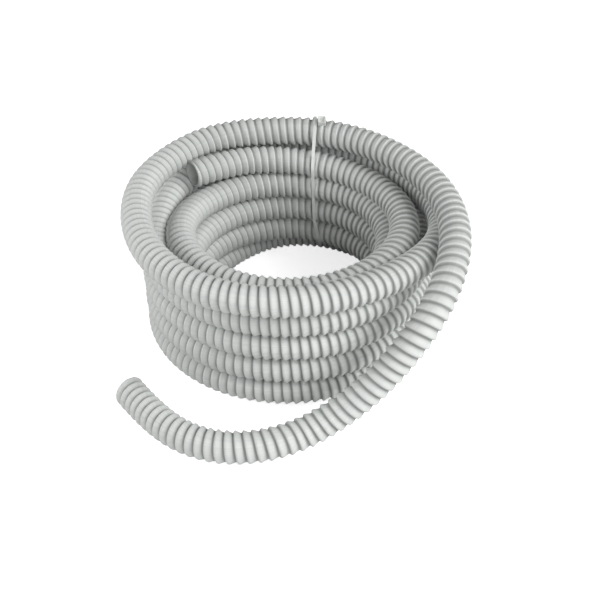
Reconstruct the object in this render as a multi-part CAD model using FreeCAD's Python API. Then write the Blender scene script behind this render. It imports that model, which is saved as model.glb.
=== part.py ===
import FreeCAD, Part
import math
import os

# A coil of ribbed plastic conduit, in millimetres, lying flat with its axis upright.
# The wound turns are one turned solid, whose turns show on every side.
# The loose top turn and the tail are one tube, which leaves the wound turns at the back.

Vector = FreeCAD.Vector

# Conduit section
conduit_od = 20.0
conduit_bore = 16.0
section_sides = 12

# Wound turns
row_pitch = 18.0
inner_column_radius = 67.5
column_pitch = 19.0
inner_rows = 5
outer_rows = 4

# Free inner end, which lies on the top row of the inner column
inner_end_angle = 140.0
inner_end_gap = 40.0
inner_end_ramp = 70.0
inner_bore_sweep = 30.0

# Place of the coil's axis in the part's frame
axis_x = -2.4
axis_y = 23.1

# Loose top turn and tail: x and y from the coil's axis, and the height of the centreline.
# The route is drawn for an outer column of this radius, and spreads with it.
route_column_radius = 86.5
tail_route = [
    (-88.0, 6.0, 65.0),
    (-84.5, 42.0, 69.5),
    (-68.0, 67.0, 73.0),
    (-42.0, 84.0, 76.0),
    (-3.0, 90.5, 79.0),
    (42.0, 86.0, 80.0),
    (80.0, 63.0, 80.0),
    (101.0, 21.0, 80.0),
    (96.0, -22.0, 81.0),
    (72.0, -58.0, 82.0),
    (38.0, -85.0, 83.0),
    (-5.0, -95.5, 84.0),
    (-48.0, -85.0, 84.0),
    (-80.0, -56.0, 85.0),
    (-96.5, -19.0, 87.0),
    (-98.5, 21.0, 90.0),
    (-81.0, 55.0, 93.0),
    (-51.0, 78.0, 96.0),
    (-1.0, 85.0, 98.0),
    (38.5, 75.0, 98.5),
    (66.0, 50.0, 99.5),
    (89.0, 19.0, 99.0),
    (103.0, -16.0, 97.5),
    (101.0, -58.0, 93.5),
    (84.5, -95.0, 76.0),
    (53.0, -112.5, 39.0),
    (19.0, -122.5, 13.0),
    (-13.0, -136.0, 10.0),
    (-46.0, -136.0, 10.0),
    (-77.0, -118.0, 10.0),
    (-98.5, -88.5, 10.0),
]
arc_share = 0.45
tail_bore_depth = 20.0
contact_tolerance = 0.005

# Cable tie: it stands across the turns, beside the coil's axis, and crosses the tube twice,
# in the middle of the run that follows each of these two points of the route
tie_x = 18.0
tie_points = (4, 18)
tie_width = 3.6
tie_thickness = 1.2
tie_slack = 0.3
head_length = 7.0
head_width = 5.6
head_height = 4.4

conduit_r = conduit_od / 2
bore_r = conduit_bore / 2
outer_column_radius = inner_column_radius + column_pitch
axis_foot = Vector(axis_x, axis_y, 0)
upright = Vector(0, 0, 1)


def route_points():
    """Returns the tail's route in the part's frame."""
    spread = outer_column_radius / route_column_radius
    return [Vector(x * spread, y * spread, z) + axis_foot for x, y, z in tail_route]


def route_wire(points):
    """Returns straight runs joined by tangent arcs, and the radii of those arcs."""
    edges = []
    radii = []
    start = points[0]
    for before, corner, after in zip(points, points[1:], points[2:]):
        back = before - corner
        ahead = after - corner
        reach = arc_share * min(back.Length, ahead.Length)
        back.normalize()
        ahead.normalize()
        half_turn = (math.pi - back.getAngle(ahead)) / 2
        radius = reach / math.tan(half_turn)
        inward = (back + ahead).normalize()
        crown = corner + inward * (radius / math.cos(half_turn) - radius)
        first = corner + back * reach
        last = corner + ahead * reach
        edges.append(Part.LineSegment(start, first).toShape())
        edges.append(Part.Arc(first, crown, last).toShape())
        radii.append(radius)
        start = last
    edges.append(Part.LineSegment(start, points[-1]).toShape())
    return Part.Wire(edges), radii


def bar(points, section):
    """Returns a bar with the given closed section, which stands square to the route's first point."""
    wire, _ = route_wire(points)
    return wire.makePipeShell([section], True, True)


def ring_of_sides(centre, normal, radius):
    """Returns the closed line of a regular polygon, with its corners at a radius and one on top."""
    level = normal.cross(upright).normalize()
    rise = level.cross(normal)
    corners = []
    for k in range(section_sides + 1):
        turn = 2 * math.pi * k / section_sides
        corners.append(centre + (rise * math.cos(turn) + level * math.sin(turn)) * radius)
    return Part.makePolygon(corners)


def row_height(row):
    """Returns the height of the centre of a row, where row 0 lies on the floor."""
    return conduit_r + row * row_pitch


def polygon(corners):
    """Returns a flat face in the XZ plane from its corners, given as x and z."""
    ring = corners + corners[:1]
    return Part.Face(Part.makePolygon([Vector(x, 0, z) for x, z in ring]))


def disc(column_radius, height, radius):
    """Returns the section of one turn in the XZ plane."""
    return Part.Face(ring_of_sides(Vector(column_radius, 0, height), Vector(0, -1, 0), radius))


def turned(face, start=0.0, sweep=360.0):
    """Returns a face turned about the coil's axis, from one angle on by a sweep."""
    solid = face.revolve(Vector(0, 0, 0), upright, sweep)
    solid.rotate(Vector(0, 0, 0), upright, start)
    solid.translate(axis_foot)
    return solid


def wound_turns():
    """Returns the wound turns as one turned solid, with the top row open beyond the free inner end."""
    discs = [disc(inner_column_radius, row_height(row), conduit_r) for row in range(inner_rows - 1)]
    discs += [disc(outer_column_radius, row_height(row), conduit_r) for row in range(outer_rows)]
    low = row_height(0)
    high = row_height(outer_rows - 1)
    core = polygon([(inner_column_radius, low), (outer_column_radius, low),
                    (outer_column_radius, high), (inner_column_radius, high)])
    profile = core.multiFuse(discs).removeSplitter()
    top = disc(inner_column_radius, row_height(inner_rows - 1), conduit_r)
    top_turn = turned(top, inner_end_angle + inner_end_gap, 360 - inner_end_gap)
    return turned(profile.Faces[0]).fuse(top_turn.cut(inner_end_slope()))


def inner_end_slope():
    """Returns a block that slopes the top row back up to full height, some way from the free inner end."""
    half_ramp = inner_column_radius * math.sin(math.radians(inner_end_ramp / 2))
    crest = row_height(inner_rows - 1) + conduit_r
    foot = crest - row_pitch
    low_side = -half_ramp - 0.8 * conduit_r
    wedge = polygon([(low_side, foot), (-half_ramp, foot), (half_ramp, crest), (low_side, crest + 1)])
    block = wedge.extrude(Vector(0, -inner_column_radius - conduit_od, 0))
    block.rotate(Vector(0, 0, 0), upright, inner_end_angle + inner_end_gap + inner_end_ramp / 2 + 90)
    block.translate(axis_foot)
    return block


def inner_end_bore():
    """Returns the bore of the free inner end."""
    bore = disc(inner_column_radius, row_height(inner_rows - 1), bore_r)
    return turned(bore, inner_end_angle - inner_bore_sweep, inner_bore_sweep)


def band_outline(circles, radius):
    """Returns the closed line of a band pulled tight round equal circles, given in turn."""
    normals = []
    for here, ahead in zip(circles, circles[1:] + circles[:1]):
        along = ahead - here
        normals.append(Vector(along.z, 0, -along.x).normalize())
    edges = []
    for k, here in enumerate(circles):
        ahead = circles[(k + 1) % len(circles)]
        middle = (normals[k - 1] + normals[k]).normalize()
        arc = Part.Arc(here + normals[k - 1] * radius, here + middle * radius, here + normals[k] * radius)
        edges.append(arc.toShape())
        edges.append(Part.LineSegment(here + normals[k] * radius, ahead + normals[k] * radius).toShape())
    return Part.Wire(edges)


def tie_turns(points):
    """Returns the centres of the turns that the strap is bent round, in the tie's own XZ plane."""
    inner = math.sqrt(inner_column_radius ** 2 - tie_x ** 2)
    outer = math.sqrt(outer_column_radius ** 2 - tie_x ** 2)
    lowest = conduit_r + tie_slack + tie_thickness
    turns = [Vector(inner, 0, lowest), Vector(outer, 0, lowest)]
    for before in tie_points:
        crossing = (points[before] + points[before + 1]) / 2 - axis_foot
        turns.append(Vector(crossing.y, 0, crossing.z))
    turns.append(Vector(inner, 0, row_height(inner_rows - 1)))
    return turns


def stood_at_tie(solid):
    """Turns a solid from the tie's own XZ plane to where the tie stands."""
    solid.rotate(Vector(0, 0, 0), upright, 90)
    solid.translate(axis_foot + Vector(tie_x, 0, 0))
    return solid


def across_tie(face):
    """Returns a face in the XZ plane made as thick as the tie is wide, where the tie stands."""
    solid = face.extrude(Vector(0, tie_width, 0))
    solid.translate(Vector(0, -tie_width / 2, 0))
    return stood_at_tie(solid)


def make_tie(turns):
    """Returns the cable tie's strap and head as one moulded piece."""
    opening = Part.Face(band_outline(turns, conduit_r + tie_slack))
    outline = Part.Face(band_outline(turns, conduit_r + tie_slack + tie_thickness))
    strap = across_tie(outline.cut(opening))
    seat = turns[3] + Vector(0, -head_width / 2, conduit_r + tie_slack)
    head = Part.makeBox(head_length, head_width, head_height, seat)
    head = head.makeFillet(0.8, [edge for edge in head.Edges if edge.BoundBox.ZMin > seat.z + 1])
    return strap.fuse(stood_at_tie(head)).removeSplitter()


def tie_dent(turns):
    """Returns what the tie squeezes out of the turns it crosses: all that lies outside the strap's inside."""
    opening = Part.Face(band_outline(turns, conduit_r + tie_slack))
    around = polygon([(0, -conduit_od), (2 * outer_column_radius, -conduit_od),
                      (2 * outer_column_radius, 2 * outer_column_radius), (0, 2 * outer_column_radius)])
    return across_tie(around.cut(opening))


def make_tail(points, coil, dent):
    """Returns the loose top turn and the tail, with the round bore of the free end."""
    heading = points[1] - points[0]
    heading.normalize()
    tail = bar(points, ring_of_sides(points[0], heading, conduit_r))
    bore = Part.makeCylinder(bore_r, tail_bore_depth, points[-1], points[-2] - points[-1])
    return tail.cut([coil], contact_tolerance).cut(dent).cut(bore)


def make_coil(dent):
    """Returns the wound turns with the free inner end, dented where the tie holds them."""
    return wound_turns().cut(inner_end_bore()).cut(dent)


def build():
    """Returns each node's solid by name."""
    points = route_points()
    wire, radii = route_wire(points)
    print("radii", [round(radius, 1) for radius in radii], "length", round(wire.Length, 1))
    turns = tie_turns(points)
    dent = tie_dent(turns)
    coil = make_coil(dent)
    tail = make_tail(points, coil, dent)
    return {"conduit_coil": coil, "conduit_tail": tail, "cable_tie": make_tie(turns)}


os.makedirs("parts", exist_ok=True)
whole = FreeCAD.BoundBox()
for name, shape in build().items():
    solid = shape.Solids[0]
    print(name, "solids", len(shape.Solids), "valid", solid.isValid(), "volume", round(solid.Volume))
    solid.exportStep("parts/" + name + ".step")
    whole.add(solid.BoundBox)
print("box", whole)
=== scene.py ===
"""A coil of grey ribbed conduit with a cable tie, dressed over its CAD model and set in a pale studio."""

import logging
import math
from bisect import bisect_right
from dataclasses import dataclass, field
from enum import Enum

import bmesh
import bpy
from mathutils import Matrix, Vector

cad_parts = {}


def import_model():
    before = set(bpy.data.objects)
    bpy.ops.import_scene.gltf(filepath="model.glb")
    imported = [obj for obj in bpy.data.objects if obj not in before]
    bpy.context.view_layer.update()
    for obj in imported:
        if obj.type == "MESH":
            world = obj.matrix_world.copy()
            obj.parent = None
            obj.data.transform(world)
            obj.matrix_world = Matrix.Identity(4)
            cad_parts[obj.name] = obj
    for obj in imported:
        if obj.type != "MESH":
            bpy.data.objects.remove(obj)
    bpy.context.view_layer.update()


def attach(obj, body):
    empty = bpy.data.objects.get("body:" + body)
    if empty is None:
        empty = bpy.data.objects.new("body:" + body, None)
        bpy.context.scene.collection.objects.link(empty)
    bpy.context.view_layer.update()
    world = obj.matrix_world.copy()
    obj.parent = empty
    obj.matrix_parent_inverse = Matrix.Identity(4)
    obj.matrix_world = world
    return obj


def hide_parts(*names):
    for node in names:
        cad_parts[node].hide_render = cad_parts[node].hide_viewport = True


log = logging.getLogger("conduit")

MM = 0.001
FULL_TURN = 360.0
COIL_AXIS = Vector((-2.4, 23.1, 0.0))
WELD_DISTANCE = 1e-6
PLANE_DISTANCE = 1e-7


class Stretch(Enum):
    """The stretches of the one conduit, in the order in which they follow each other."""

    INNER_COLUMN = "conduit_inner_column"
    OUTER_COLUMN = "conduit_outer_column"
    LOOSE_TAIL = "conduit_loose_tail"


def eased(share: float) -> float:
    """Smooths a share of a way, with level starts and ends.

    Args:
        share: How far along, where 0 and below is the start and 1 and above the end.

    Returns:
        The smoothed share, from 0 to 1.
    """
    share = min(1.0, max(0.0, share))
    return share * share * (3.0 - 2.0 * share)


def between(knots: list[tuple[float, ...]], place: float) -> list[float]:
    """Reads a list of knots at a place between two of them.

    Args:
        knots: Tuples that each start with their place, in rising order.
        place: The place to read, held to the range of the knots.

    Returns:
        The values after the place, worked out along the straight line between the two knots.
    """
    place = min(max(place, knots[0][0]), knots[-1][0])
    for low, high in zip(knots, knots[1:]):
        if place <= high[0]:
            share = (place - low[0]) / (high[0] - low[0])
            return [a + (b - a) * share for a, b in zip(low[1:], high[1:])]
    return list(knots[-1][1:])


@dataclass(frozen=True)
class ConduitPlastic:
    """Satin light grey conduit plastic, with faint streaks along the tube and painted shade in the grooves
    beside the ribs.
    """

    name: str = "conduit plastic"
    colour: tuple[float, float, float] = (0.62, 0.635, 0.615)
    shade: tuple[float, float, float] = (0.55, 0.57, 0.56)
    # Colour of the painted shade in the grooves beside the ribs.
    painted_crease_shade: tuple[float, float, float] = (0.26, 0.27, 0.26)
    roughness: float = 0.55
    refraction: float = 1.52
    streak_scale: tuple[float, float, float] = (14.0, 60.0, 1.0)
    streak_detail: float = 3.0
    streak_range: tuple[float, float] = (0.30, 0.62)
    grain_scale: float = 900.0
    grain_detail: float = 2.0
    grain_strength: float = 0.12
    grain_depth: float = 0.0002

    def make(self) -> bpy.types.Material:
        """Builds the material.

        Returns:
            The material, whose pattern follows the piece's own UV map, with painted shade in the grooves
            beside the ribs set by a vertex attribute.
        """
        material = bpy.data.materials.new(self.name)
        material.use_nodes = True
        nodes, links = material.node_tree.nodes, material.node_tree.links
        shader = nodes["Principled BSDF"]
        shader.inputs["Roughness"].default_value = self.roughness
        shader.inputs["IOR"].default_value = self.refraction
        coordinates = nodes.new("ShaderNodeTexCoord")
        stretched = nodes.new("ShaderNodeMapping")
        stretched.inputs["Scale"].default_value = self.streak_scale
        streaks = nodes.new("ShaderNodeTexNoise")
        streaks.inputs["Scale"].default_value = 1.0
        streaks.inputs["Detail"].default_value = self.streak_detail
        tint = nodes.new("ShaderNodeMix")
        tint.data_type = "RGBA"
        tint.inputs["A"].default_value = (*self.shade, 1.0)
        tint.inputs["B"].default_value = (*self.colour, 1.0)
        spread = nodes.new("ShaderNodeMapRange")
        low, high = self.streak_range
        spread.inputs["From Min"].default_value = low
        spread.inputs["From Max"].default_value = high
        grain = nodes.new("ShaderNodeTexNoise")
        grain.inputs["Scale"].default_value = self.grain_scale
        grain.inputs["Detail"].default_value = self.grain_detail
        relief = nodes.new("ShaderNodeBump")
        relief.inputs["Strength"].default_value = self.grain_strength
        relief.inputs["Distance"].default_value = self.grain_depth
        # Painted shade: a per-vertex mask darkens the base colour in the grooves beside the ribs.
        painted_shade_mask = nodes.new("ShaderNodeAttribute")
        painted_shade_mask.attribute_name = "painted_crease_shade"
        painted_shade_mix = nodes.new("ShaderNodeMix")
        painted_shade_mix.data_type = "RGBA"
        painted_shade_mix.inputs["B"].default_value = (*self.painted_crease_shade, 1.0)
        links.new(coordinates.outputs["UV"], stretched.inputs["Vector"])
        links.new(stretched.outputs["Vector"], streaks.inputs["Vector"])
        links.new(streaks.outputs["Fac"], spread.inputs["Value"])
        links.new(spread.outputs["Result"], tint.inputs["Factor"])
        links.new(tint.outputs["Result"], painted_shade_mix.inputs["A"])
        links.new(painted_shade_mask.outputs["Fac"], painted_shade_mix.inputs["Factor"])
        links.new(painted_shade_mix.outputs["Result"], shader.inputs["Base Color"])
        links.new(coordinates.outputs["Object"], grain.inputs["Vector"])
        links.new(grain.outputs["Fac"], relief.inputs["Height"])
        links.new(relief.outputs["Normal"], shader.inputs["Normal"])
        return material


@dataclass(frozen=True)
class TieNylon:
    """Natural white nylon of the cable tie, slightly translucent."""

    name: str = "tie nylon"
    colour: tuple[float, float, float] = (0.66, 0.68, 0.65)
    roughness: float = 0.3
    translucence: float = 0.35
    light_reach: float = 0.002
    cloud_scale: float = 160.0
    cloud_shade: float = 0.93

    def make(self) -> bpy.types.Material:
        """Builds the material.

        Returns:
            The material, with a faint cloudiness on Object coordinates.
        """
        material = bpy.data.materials.new(self.name)
        material.use_nodes = True
        nodes, links = material.node_tree.nodes, material.node_tree.links
        shader = nodes["Principled BSDF"]
        shader.inputs["Roughness"].default_value = self.roughness
        shader.inputs["Subsurface Weight"].default_value = self.translucence
        shader.inputs["Subsurface Radius"].default_value = (self.light_reach,) * 3
        shader.inputs["Subsurface Scale"].default_value = 1.0
        coordinates = nodes.new("ShaderNodeTexCoord")
        clouds = nodes.new("ShaderNodeTexNoise")
        clouds.inputs["Scale"].default_value = self.cloud_scale
        tint = nodes.new("ShaderNodeMix")
        tint.data_type = "RGBA"
        tint.inputs["A"].default_value = (*(self.cloud_shade * part for part in self.colour), 1.0)
        tint.inputs["B"].default_value = (*self.colour, 1.0)
        links.new(coordinates.outputs["Object"], clouds.inputs["Vector"])
        links.new(clouds.outputs["Fac"], tint.inputs["Factor"])
        links.new(tint.outputs["Result"], shader.inputs["Base Color"])
        return material


@dataclass
class Winding:
    """The line of the whole conduit, from the free inner end to the free end of the tail, in millimetres.

    Angles are in degrees about the coil's axis, and the winding goes clockwise seen from above.
    The slack turn is given as the angle swept, the radius and the height, and the tail's route as
    x and y from the coil's axis and the height.
    """

    inner_radius: float = 67.5
    outer_radius: float = 86.5
    row_pitch: float = 18.0
    lowest_row: float = 10.0
    top_row: float = 82.0
    steps_per_turn: int = 16
    curve_steps: int = 10
    inner_start: float = 144.0
    inner_sweep: float = 1440.0
    descent_start: float = 150.0
    descent_sweep: float = 150.0
    crossing_sweep: float = 70.0
    crossing_lead: float = 4.0
    outer_start: float = 76.0
    outer_sweep: float = 1350.0
    climb_start: float = 240.0
    climb_sweep: float = 90.0
    slack_turn: list[tuple[float, float, float]] = field(default_factory=lambda: [
        (0, 80, 84), (28, 75, 83), (56, 70, 80.5), (100, 71, 78), (146, 77, 76.5), (190, 73, 74),
        (236, 67.5, 70.5), (290, 68, 70), (326, 71, 69), (360, 71, 65), (416, 67.5, 64),
    ])
    tail_route: list[tuple[float, float, float]] = field(default_factory=lambda: [
        (-88.0, 6.0, 65.0), (-84.5, 42.0, 69.5), (-68.0, 67.0, 73.0), (-42.0, 84.0, 76.0),
        (-3.0, 90.5, 79.0), (43.0, 83.5, 79.0), (76.0, 60.0, 79.0), (99.0, 20.0, 79.5),
        (101.0, -23.0, 81.0), (75.5, -59.5, 82.0), (38.0, -85.0, 83.0), (-5.0, -95.5, 84.0),
        (-48.0, -85.0, 84.0), (-80.0, -56.0, 85.0), (-96.5, -19.0, 87.0), (-98.5, 21.0, 90.0),
        (-81.0, 55.0, 93.0), (-51.0, 79.5, 96.5), (-1.0, 86.0, 98.0), (38.5, 75.5, 98.5),
        (68.0, 52.0, 99.5), (91.5, 20.5, 99.0), (103.0, -16.5, 97.5), (101.5, -58.5, 93.2),
        (85.0, -95.8, 75.8), (53.5, -113.3, 38.5), (19.0, -123.0, 12.5), (-13.0, -136.5, 10.0),
        (-46.0, -136.5, 10.0), (-77.0, -118.0, 10.0), (-98.5, -88.5, 10.0),
    ])
    line: list[Vector] = field(default_factory=list)
    reach: list[float] = field(default_factory=list)

    def inner_turns(self) -> list[Vector]:
        """Works out the points of the inner column, from the slack top turn down to the floor.

        Returns:
            The points about the coil's axis, a fixed number to a turn.
        """
        points = []
        step = FULL_TURN / self.steps_per_turn
        for k in range(round((self.inner_sweep + self.crossing_sweep) / step)):
            swept = k * step
            turn, rest = divmod(swept, FULL_TURN)
            if swept < self.slack_turn[-1][0]:
                radius, height = between(self.slack_turn, swept)
            elif swept < self.inner_sweep:
                radius = self.inner_radius
                dropped = eased((rest - self.descent_start) / self.descent_sweep)
                height = self.top_row - self.row_pitch * (turn + dropped)
            else:
                share = eased((swept - self.inner_sweep + self.crossing_lead) / self.crossing_sweep)
                radius = self.inner_radius + (self.outer_radius - self.inner_radius) * share
                height = self.lowest_row
            points.append(self.about_axis(self.inner_start - swept, radius, height))
        return points

    def outer_turns(self) -> list[Vector]:
        """Works out the points of the outer column, from the floor up.

        Returns:
            The points about the coil's axis, a fixed number to a turn.
        """
        points = []
        step = FULL_TURN / self.steps_per_turn
        for k in range(round(self.outer_sweep / step)):
            swept = k * step
            turn, rest = divmod(swept, FULL_TURN)
            climbed = eased((rest - self.climb_start) / self.climb_sweep)
            height = self.lowest_row + self.row_pitch * (turn + climbed)
            points.append(self.about_axis(self.outer_start - swept, self.outer_radius, height))
        return points

    def about_axis(self, angle: float, radius: float, height: float) -> Vector:
        """Places a control point so that the curve through its turn has the given radius.

        Args:
            angle: The angle about the coil's axis, in degrees.
            radius: The radius of the curve there.
            height: The height above the floor.

        Returns:
            The point in the part's frame, in metres.
        """
        # The curve takes three quarters of a control point and an eighth of each of its neighbours.
        wide = radius / (0.75 + 0.25 * math.cos(2.0 * math.pi / self.steps_per_turn))
        turn = math.radians(angle)
        return (Vector((wide * math.cos(turn), wide * math.sin(turn), height)) + COIL_AXIS) * MM

    def draw(self) -> None:
        """Draws the line as one smooth spline, and keeps its points and how far along each lies."""
        points = self.inner_turns() + self.outer_turns()
        points += [(Vector(place) + COIL_AXIS) * MM for place in self.tail_route]
        curve = bpy.data.curves.new("conduit line", "CURVE")
        curve.dimensions = "3D"
        spline = curve.splines.new("NURBS")
        spline.points.add(len(points) - 1)
        for point, place in zip(spline.points, points):
            point.co = (*place, 1.0)
        spline.order_u = 3
        spline.use_endpoint_u = True
        spline.resolution_u = self.curve_steps
        holder = bpy.data.objects.new("conduit line", curve)
        mesh = bpy.data.meshes.new_from_object(holder)
        self.line = [vertex.co.copy() for vertex in mesh.vertices]
        self.reach = [0.0]
        for here, ahead in zip(self.line, self.line[1:]):
            self.reach.append(self.reach[-1] + (ahead - here).length)
        bpy.data.meshes.remove(mesh)
        bpy.data.objects.remove(holder)
        bpy.data.curves.remove(curve)

    def length(self) -> float:
        """Reads the length of the line.

        Returns:
            The length, in metres.
        """
        return self.reach[-1]

    def at(self, distance: float) -> tuple[Vector, Vector]:
        """Reads the line at a distance from its start, going straight on past either end.

        Args:
            distance: The distance along the line, in metres.

        Returns:
            The point there and the direction of the line.
        """
        k = min(max(bisect_right(self.reach, distance) - 1, 0), len(self.line) - 2)
        step = self.reach[k + 1] - self.reach[k]
        share = (distance - self.reach[k]) / step
        return self.line[k].lerp(self.line[k + 1], share), self.heading(k, share)

    def heading(self, k: int, share: float) -> Vector:
        """Reads the direction of the line between two of its points.

        Args:
            k: The number of the step of the line.
            share: How far along that step.

        Returns:
            The direction, of length 1, turned smoothly from one step to the next.
        """
        share = min(1.0, max(0.0, share))
        own = (self.line[k + 1] - self.line[k]).normalized()
        before = self.line[k] - self.line[k - 1] if k else own
        after = self.line[k + 2] - self.line[k + 1] if k + 2 < len(self.line) else own
        first = (own + before.normalized()).normalized()
        last = (own + after.normalized()).normalized()
        return first.lerp(last, share).normalized()

    def stretch(self, start: float, end: float) -> list[Vector]:
        """Lists the points of the line between two distances.

        Args:
            start: The distance of the first point, in metres.
            end: The distance of the last point, in metres.

        Returns:
            The points, with one at each end of the stretch.
        """
        inside = [point for point, along in zip(self.line, self.reach) if start < along < end]
        return [self.at(start)[0]] + inside + [self.at(end)[0]]


@dataclass
class RibbedConduit:
    """The conduit: a thin wall with one rib that runs round it as a right-handed screw.

    Sizes are in millimetres. The wall is built in stretches that meet face to face. Each knot of the
    rib's profile gives the share of the pitch, the share of the rib's height and how much painted shade
    darkens the colour there, most in the groove beside the rib.
    Each rib pitch is given with the distance from the free end of the tail.
    """

    winding: Winding
    crest_radius: float = 10.0
    web_radius: float = 8.6
    bore_radius: float = 8.0
    columns: int = 24
    bore_sides: int = 20
    bore_step: float = 9.0
    bore_overrun: float = 6.0
    rib_overrun: float = 20.0
    cut_reach: float = 30.0
    seam_share: float = 0.25
    wound_height: float = 0.975
    free_length: float = 450.0
    easing_length: float = 250.0
    # The third value of each knot is painted shade: how much the colour is darkened there, most in the
    # groove beside the rib.
    rib_profile: list[tuple[float, float, float]] = field(default_factory=lambda: [
        (0.0, -0.05, 0.85), (0.12, 0.14, 0.30), (0.28, 0.40, 0.05), (0.44, 0.72, 0.0), (0.56, 0.94, 0.0),
        (0.65, 1.0, 0.0), (0.74, 0.88, 0.05), (0.81, 0.45, 0.7), (0.88, -0.10, 1.0), (1.0, -0.05, 0.85),
    ])
    rib_pitches: list[tuple[float, float]] = field(default_factory=lambda: [
        (0.0, 5.4), (70.0, 5.45), (130.0, 6.1), (330.0, 6.3), (430.0, 5.7), (560.0, 5.45), (6000.0, 5.45),
    ])
    turn_reach: list[float] = field(default_factory=list)

    def count_ribs(self) -> None:
        """Works out how far along the line each turn of the rib lies, from the inner end on."""
        whole = self.winding.length() / MM
        back = [0.0]
        while back[-1] < whole + self.rib_overrun:
            back.append(back[-1] + between(self.rib_pitches, back[-1])[0])
        self.turn_reach = [(whole - along) * MM for along in reversed(back)]

    def rib_at(self, turn: float) -> float:
        """Reads the distance along the line of a turn of the rib.

        Args:
            turn: The number of turns of the rib from the inner end.

        Returns:
            The distance along the line, in metres.
        """
        low = min(max(int(math.floor(turn)), 0), len(self.turn_reach) - 2)
        share = turn - low
        return self.turn_reach[low] + (self.turn_reach[low + 1] - self.turn_reach[low]) * share

    def turn_at(self, distance: float) -> float:
        """Reads the number of turns of the rib at a distance along the line.

        Args:
            distance: The distance along the line, in metres.

        Returns:
            The number of turns from the inner end, with the part of a turn.
        """
        low = min(max(bisect_right(self.turn_reach, distance) - 1, 0), len(self.turn_reach) - 2)
        step = self.turn_reach[low + 1] - self.turn_reach[low]
        return low + (distance - self.turn_reach[low]) / step

    def flatness(self, distance: float) -> float:
        """Reads how much lower than wide the conduit is, where the turns press on each other.

        Args:
            distance: The distance along the line, in metres.

        Returns:
            The height of the section as a share of its width.
        """
        from_end = (self.winding.length() - distance) / MM
        freed = eased(1.0 - (from_end - self.free_length) / self.easing_length)
        return self.wound_height + (1.0 - self.wound_height) * freed

    def on_wall(self, distance: float, angle: float, radius: float) -> Vector:
        """Finds a point of the conduit's wall.

        Args:
            distance: The distance along the line, in metres.
            angle: The angle round the section, in radians.
            radius: The distance from the line, in millimetres.

        Returns:
            The point, in metres.
        """
        centre, along = self.winding.at(distance)
        side = Vector((0.0, 0.0, 1.0)).cross(along).normalized()
        rise = along.cross(side)
        tall = self.flatness(distance)
        return centre + (side * math.cos(angle) + rise * math.sin(angle) * tall) * radius * MM

    def lay_skin(self, bm: bmesh.types.BMesh, start: float, end: float) -> None:
        """Lays the ribbed outer skin: a strip as wide as the rib's pitch, wound round the line.

        Args:
            bm: The mesh to add to.
            start: Where the stretch starts, in metres along the line.
            end: Where it ends.
        """
        first = math.floor(self.turn_at(start)) - 1
        last = math.ceil(self.turn_at(end)) + 1
        rows = len(self.rib_profile) - 1
        long = (last - first) * self.columns
        made = bmesh.ops.create_grid(bm, x_segments=long, y_segments=rows, size=0.5)["verts"]
        along, around = bm.verts.layers.float["along"], bm.verts.layers.float["around"]
        painted_crease_shade = bm.verts.layers.float["painted_crease_shade"]
        for vert in made:
            column = round((vert.co.x + 0.5) * long)
            share, height, depth = self.rib_profile[round((vert.co.y + 0.5) * rows)]
            radius = self.web_radius + (self.crest_radius - self.web_radius) * height
            # Painted shade: the vertex keeps how much its colour is darkened in the groove beside the rib.
            vert[painted_crease_shade] = depth
            vert[around] = (column % self.columns) / self.columns
            vert[along] = self.rib_at(first + column / self.columns + share)
            vert.co = self.on_wall(vert[along], 2.0 * math.pi * vert[around], radius)

    def lay_bore(self, bm: bmesh.types.BMesh, start: float, end: float) -> None:
        """Lays the smooth skin of the bore.

        Args:
            bm: The mesh to add to.
            start: Where the stretch starts, in metres along the line.
            end: Where it ends.
        """
        spare = self.bore_overrun * MM
        along, around = bm.verts.layers.float["along"], bm.verts.layers.float["around"]
        rings = math.ceil((end - start) / (self.bore_step * MM))
        made = bmesh.ops.create_grid(bm, x_segments=rings, y_segments=self.bore_sides, size=0.5)["verts"]
        for vert in made:
            vert[along] = start - spare + (end - start + 2.0 * spare) * (vert.co.x + 0.5)
            vert[around] = (round((vert.co.y + 0.5) * self.bore_sides) % self.bore_sides) / self.bore_sides
            vert.co = self.on_wall(vert[along], 2.0 * math.pi * vert[around], self.bore_radius)

    def cut_square(self, bm: bmesh.types.BMesh, distance: float, outward: float) -> None:
        """Cuts the wall square across the line, and closes it between the skin and the bore.

        Args:
            bm: The mesh to cut.
            distance: Where to cut, in metres along the line.
            outward: 1 where what lies further on is taken away, or -1 for what lies before.
        """
        centre, direction = self.winding.at(distance)
        along = bm.verts.layers.float["along"]
        reach = self.cut_reach * MM
        near = [face for face in bm.faces if all(abs(vert[along] - distance) < reach for vert in face.verts)]
        geometry = near + list(dict.fromkeys(edge for face in near for edge in face.edges))
        geometry += list(dict.fromkeys(vert for face in near for vert in face.verts))
        made = bmesh.ops.bisect_plane(bm, geom=geometry, dist=PLANE_DISTANCE, plane_co=centre,
                                      plane_no=direction * outward, clear_outer=True)
        rim = [part for part in made["geom_cut"] if isinstance(part, bmesh.types.BMEdge)]
        for edge in rim:
            edge.smooth = False
        bmesh.ops.bridge_loops(bm, edges=rim)

    def unroll(self, bm: bmesh.types.BMesh) -> None:
        """Gives the wall a UV map, with how far along the tube and how far round it each corner lies.

        Args:
            bm: The mesh, whose vertices know their place along and around the tube.
        """
        along, around = bm.verts.layers.float["along"], bm.verts.layers.float["around"]
        layer = bm.loops.layers.uv.new("along the tube")
        for face in bm.faces:
            at_seam = max(vert[around] for vert in face.verts) > 1.0 - self.seam_share
            for loop in face.loops:
                turn = loop.vert[around]
                past_seam = at_seam and turn < self.seam_share
                loop[layer].uv = (loop.vert[along], turn + 1.0 if past_seam else turn)

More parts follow.
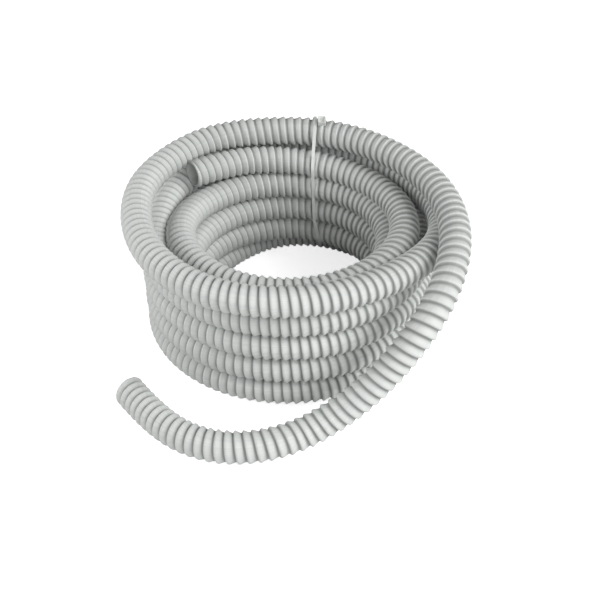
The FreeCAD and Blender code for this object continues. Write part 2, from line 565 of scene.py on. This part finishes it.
    def build(
        self, stretch: Stretch, start: float, end: float, finish: bpy.types.Material
    ) -> bpy.types.Object:
        """Builds one stretch of the conduit as a closed wall round its bore.

        Args:
            stretch: Which stretch it is.
            start: Where it starts, in metres along the line.
            end: Where it ends.
            finish: The plastic.

        Returns:
            The object.
        """
        bm = bmesh.new()
        bm.verts.layers.float.new("along")
        bm.verts.layers.float.new("around")
        # This layer holds the painted shade of the grooves beside the ribs.
        bm.verts.layers.float.new("painted_crease_shade")
        self.lay_skin(bm, start, end)
        self.lay_bore(bm, start, end)
        bmesh.ops.remove_doubles(bm, verts=bm.verts, dist=WELD_DISTANCE)
        self.cut_square(bm, start, -1.0)
        self.cut_square(bm, end, 1.0)
        bmesh.ops.recalc_face_normals(bm, faces=bm.faces)
        for face in bm.faces:
            face.smooth = True
        self.unroll(bm)
        mesh = bpy.data.meshes.new(stretch.value)
        bm.to_mesh(mesh)
        bm.free()
        mesh.materials.append(finish)
        piece = bpy.data.objects.new(stretch.value, mesh)
        bpy.context.scene.collection.objects.link(piece)
        return piece


@dataclass
class Coil:
    """The whole coil: one conduit in three stretches, whose lengths are in metres."""

    winding: Winding = field(default_factory=Winding)
    inner_length: float = 1.80
    tail_length: float = 1.12

    def build(self) -> None:
        """Builds the conduit's stretches."""
        self.winding.draw()
        whole = self.winding.length()
        log.info("line of the conduit: %.3f m", whole)
        conduit = RibbedConduit(self.winding)
        conduit.count_ribs()
        finish = ConduitPlastic().make()
        joins = [0.0, self.inner_length, whole - self.tail_length, whole]
        for stretch, start, end in zip(Stretch, joins, joins[1:]):
            piece = conduit.build(stretch, start, end, finish)
            self.declare(piece, stretch, start, end)
            log.info("%s: %d faces", piece.name, len(piece.data.polygons))

    def declare(self, piece: bpy.types.Object, stretch: Stretch, start: float, end: float) -> None:
        """Attaches a stretch to the root body and hides the CAD node that it stands for.

        Args:
            piece: The stretch's object.
            stretch: Which stretch it is.
            start: Where it starts, in metres along the line.
            end: Where it ends.
        """
        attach(piece, "root")
        node = "conduit_tail" if stretch is Stretch.LOOSE_TAIL else "conduit_coil"
        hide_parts(node)
        tuple(self.winding.at(start)[0])
        [tuple(point) for point in self.winding.stretch(start, end)]


@dataclass
class CableTie:
    """The cable tie: a thin strap pulled round the turns, with its head on the top one.

    Sizes are in millimetres, and places are measured from the coil's axis. The bends are the centres of
    the turns that the strap is pulled round, as distance out and height. The lean gives its sideways
    place by height.
    """

    name: str = "cable_tie_dressed"
    width: float = 2.2
    thickness: float = 1.0
    strap_radius: float = 10.1
    bend_steps: int = 10
    run_steps: int = 8
    bends: list[tuple[float, float]] = field(default_factory=lambda: [
        (65.0, 28.0), (84.0, 11.3), (87.5, 79.0), (80.9, 98.2), (67.6, 79.0),
    ])
    lean: list[tuple[float, float]] = field(default_factory=lambda: [
        (10.0, 23.0), (21.0, 22.6), (32.0, 20.1), (41.0, 18.1), (64.0, 17.2), (83.0, 16.6), (100.0, 17.7),
        (108.0, 18.5),
    ])
    head_place: tuple[float, float, float] = (23.0, 76.6, 109.2)
    head_size: tuple[float, float, float] = (5.6, 6.0, 4.2)
    head_pitch: float = 22.0
    head_rounding: float = 0.5
    slot_border: float = 1.1
    slot_depth: float = 1.4
    smallest_flat: float = 9.0

    def outline(self) -> list[tuple[Vector, Vector]]:
        """Works out the strap's inner line in its own plane, pulled tight round its bends.

        Returns:
            Points of the closed line with the outward direction at each, as distance out and height.
        """
        centres = [Vector(bend) for bend in self.bends]
        outward = []
        for here, ahead in zip(centres, centres[1:] + centres[:1]):
            run = (ahead - here).normalized()
            outward.append(Vector((run.y, -run.x)))
        line = []
        for k, centre in enumerate(centres):
            before, after = outward[k - 1], outward[k]
            for step in range(self.bend_steps + 1):
                aim = before.slerp(after, step / self.bend_steps)
                line.append((centre + aim * self.strap_radius, aim))
            ahead = centres[(k + 1) % len(centres)]
            for step in range(1, self.run_steps):
                line.append((centre.lerp(ahead, step / self.run_steps) + after * self.strap_radius, after))
        return line

    def lay_strap(self, bm: bmesh.types.BMesh) -> None:
        """Lays the strap as a closed band with a rectangular section.

        Args:
            bm: The mesh to add to.
        """
        line = self.outline()
        line.append(line[0])
        section = [(-0.5, 0.0), (0.5, 0.0), (0.5, 1.0), (-0.5, 1.0), (-0.5, 0.0)]
        long, sides = len(line) - 1, len(section) - 1
        made = bmesh.ops.create_grid(bm, x_segments=long, y_segments=sides, size=0.5)["verts"]
        for vert in made:
            place, aim = line[round((vert.co.x + 0.5) * long)]
            across, out = section[round((vert.co.y + 0.5) * sides)]
            place = place + aim * out * self.thickness
            sideways = between(self.lean, place.y)[0] + across * self.width
            vert.co = (Vector((sideways, place.x, place.y)) + COIL_AXIS) * MM
        bmesh.ops.remove_doubles(bm, verts=made, dist=WELD_DISTANCE)

    def add_head(self, bm: bmesh.types.BMesh) -> None:
        """Adds the head: a block with rounded edges and the slot that the strap runs through.

        Args:
            bm: The mesh to add to.
        """
        stand = Matrix.Translation((Vector(self.head_place) + COIL_AXIS) * MM)
        stand = stand @ Matrix.Rotation(math.radians(self.head_pitch), 4, "X")
        stand = stand @ Matrix.Diagonal((*(side * MM for side in self.head_size), 1.0))
        made = bmesh.ops.create_cube(bm, size=1.0, matrix=stand)["verts"]
        edges = list(dict.fromkeys(edge for vert in made for edge in vert.link_edges))
        bmesh.ops.bevel(
            bm,
            geom=edges,
            offset=self.head_rounding * MM,
            affect="EDGES",
            segments=2,
            profile=0.5,
            material=-1,
        )
        flat = [face for face in bm.faces if face.calc_area() > self.smallest_flat * MM * MM]
        top = max(flat, key=lambda face: face.calc_center_median().z)
        bmesh.ops.inset_region(bm, faces=[top], thickness=self.slot_border * MM, depth=0.0)
        bmesh.ops.translate(bm, verts=top.verts, vec=-top.normal * self.slot_depth * MM)

    def dress(self) -> None:
        """Builds the tie, which takes the place of its CAD node."""
        bm = bmesh.new()
        self.lay_strap(bm)
        self.add_head(bm)
        bmesh.ops.recalc_face_normals(bm, faces=bm.faces)
        mesh = bpy.data.meshes.new(self.name)
        bm.to_mesh(mesh)
        bm.free()
        mesh.materials.append(TieNylon().make())
        tie = bpy.data.objects.new(self.name, mesh)
        bpy.context.scene.collection.objects.link(tie)
        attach(tie, "root")
        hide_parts("cable_tie")
        log.info("%s: %d faces", tie.name, len(mesh.polygons))


@dataclass(frozen=True)
class Lamp:
    """A square soft lamp: its name, its place and side in metres, and its power in watts."""

    name: str
    place: tuple[float, float, float]
    size: float
    power: float


@dataclass
class Studio:
    """A white floor, soft lamps and the camera at the photograph's angle."""

    camera_place: tuple[float, float, float] = (0.00548, -0.49880, 0.42493)
    camera_tilt: float = 51.63
    lens: float = 57.57
    sensor_width: float = 36.0
    nearest_seen: float = 0.01
    floor_size: float = 8.0
    floor_tone: float = 0.8
    floor_glow: float = 0.75
    world_light: float = 0.12
    aim: tuple[float, float, float] = (0.0, 0.0, 0.05)
    lamps: tuple[Lamp, ...] = (
        Lamp("key", (0.40, -1.30, 0.70), 1.2, 11.0),
        Lamp("left", (-1.30, -0.05, 0.60), 0.7, 11.0),
        Lamp("right", (1.10, -0.35, 0.95), 0.8, 17.0),
    )

    def build(self) -> None:
        """Builds the camera, the floor, the lamps and the world."""
        self.place_camera()
        self.lay_floor()
        for lamp in self.lamps:
            self.hang_lamp(lamp)
        self.light_world()

    def place_camera(self) -> None:
        """Places the camera."""
        camera = bpy.data.objects.new("camera", bpy.data.cameras.new("camera"))
        camera.data.lens = self.lens
        camera.data.sensor_width = self.sensor_width
        camera.data.clip_start = self.nearest_seen
        camera.location = self.camera_place
        camera.rotation_euler = (math.radians(self.camera_tilt), 0.0, 0.0)
        bpy.context.scene.collection.objects.link(camera)
        bpy.context.scene.camera = camera

    def lay_floor(self) -> None:
        """Lays a wide floor that looks white to the camera and still takes the object's shadow."""
        bm = bmesh.new()
        bmesh.ops.create_grid(bm, x_segments=1, y_segments=1, size=self.floor_size / 2)
        mesh = bpy.data.meshes.new("floor")
        bm.to_mesh(mesh)
        bm.free()
        floor = bpy.data.objects.new("floor", mesh)
        bpy.context.scene.collection.objects.link(floor)
        material = bpy.data.materials.new("floor")
        material.use_nodes = True
        nodes, links = material.node_tree.nodes, material.node_tree.links
        shader = nodes["Principled BSDF"]
        shader.inputs["Roughness"].default_value = 1.0
        shader.inputs["Specular IOR Level"].default_value = 0.0
        shader.inputs["Base Color"].default_value = (*(self.floor_tone,) * 3, 1.0)
        shader.inputs["Emission Color"].default_value = (1.0, 1.0, 1.0, 1.0)
        rays = nodes.new("ShaderNodeLightPath")
        glow = nodes.new("ShaderNodeMath")
        glow.operation = "MULTIPLY"
        glow.inputs[1].default_value = self.floor_glow
        links.new(rays.outputs["Is Camera Ray"], glow.inputs[0])
        links.new(glow.outputs["Value"], shader.inputs["Emission Strength"])
        mesh.materials.append(material)

    def hang_lamp(self, lamp: Lamp) -> None:
        """Hangs a lamp that faces the coil.

        Args:
            lamp: The lamp.
        """
        light = bpy.data.lights.new(lamp.name, "AREA")
        light.shape = "SQUARE"
        light.size = lamp.size
        light.energy = lamp.power
        holder = bpy.data.objects.new(lamp.name, light)
        turned = (Vector(self.aim) - Vector(lamp.place)).to_track_quat("-Z", "Y").to_matrix().to_4x4()
        holder.matrix_world = Matrix.Translation(lamp.place) @ turned
        bpy.context.scene.collection.objects.link(holder)

    def light_world(self) -> None:
        """Makes a world that is white to the camera, and lights faintly and evenly."""
        world = bpy.data.worlds.new("studio")
        world.use_nodes = True
        bpy.context.scene.world = world
        nodes, links = world.node_tree.nodes, world.node_tree.links
        background = nodes["Background"]
        background.inputs["Color"].default_value = (1.0, 1.0, 1.0, 1.0)
        rays = nodes.new("ShaderNodeLightPath")
        strength = nodes.new("ShaderNodeMapRange")
        strength.inputs["To Min"].default_value = self.world_light
        strength.inputs["To Max"].default_value = 1.0
        links.new(rays.outputs["Is Camera Ray"], strength.inputs["Value"])
        links.new(strength.outputs["Result"], background.inputs["Strength"])


def main() -> None:
    """Builds the studio and the coil over the frame."""
    logging.basicConfig(level=logging.INFO, format="%(name)s: %(message)s")
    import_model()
    bpy.context.scene.view_settings.view_transform = "Standard"
    Studio().build()
    Coil().build()
    CableTie().dress()


if __name__ == "__main__":
    main()
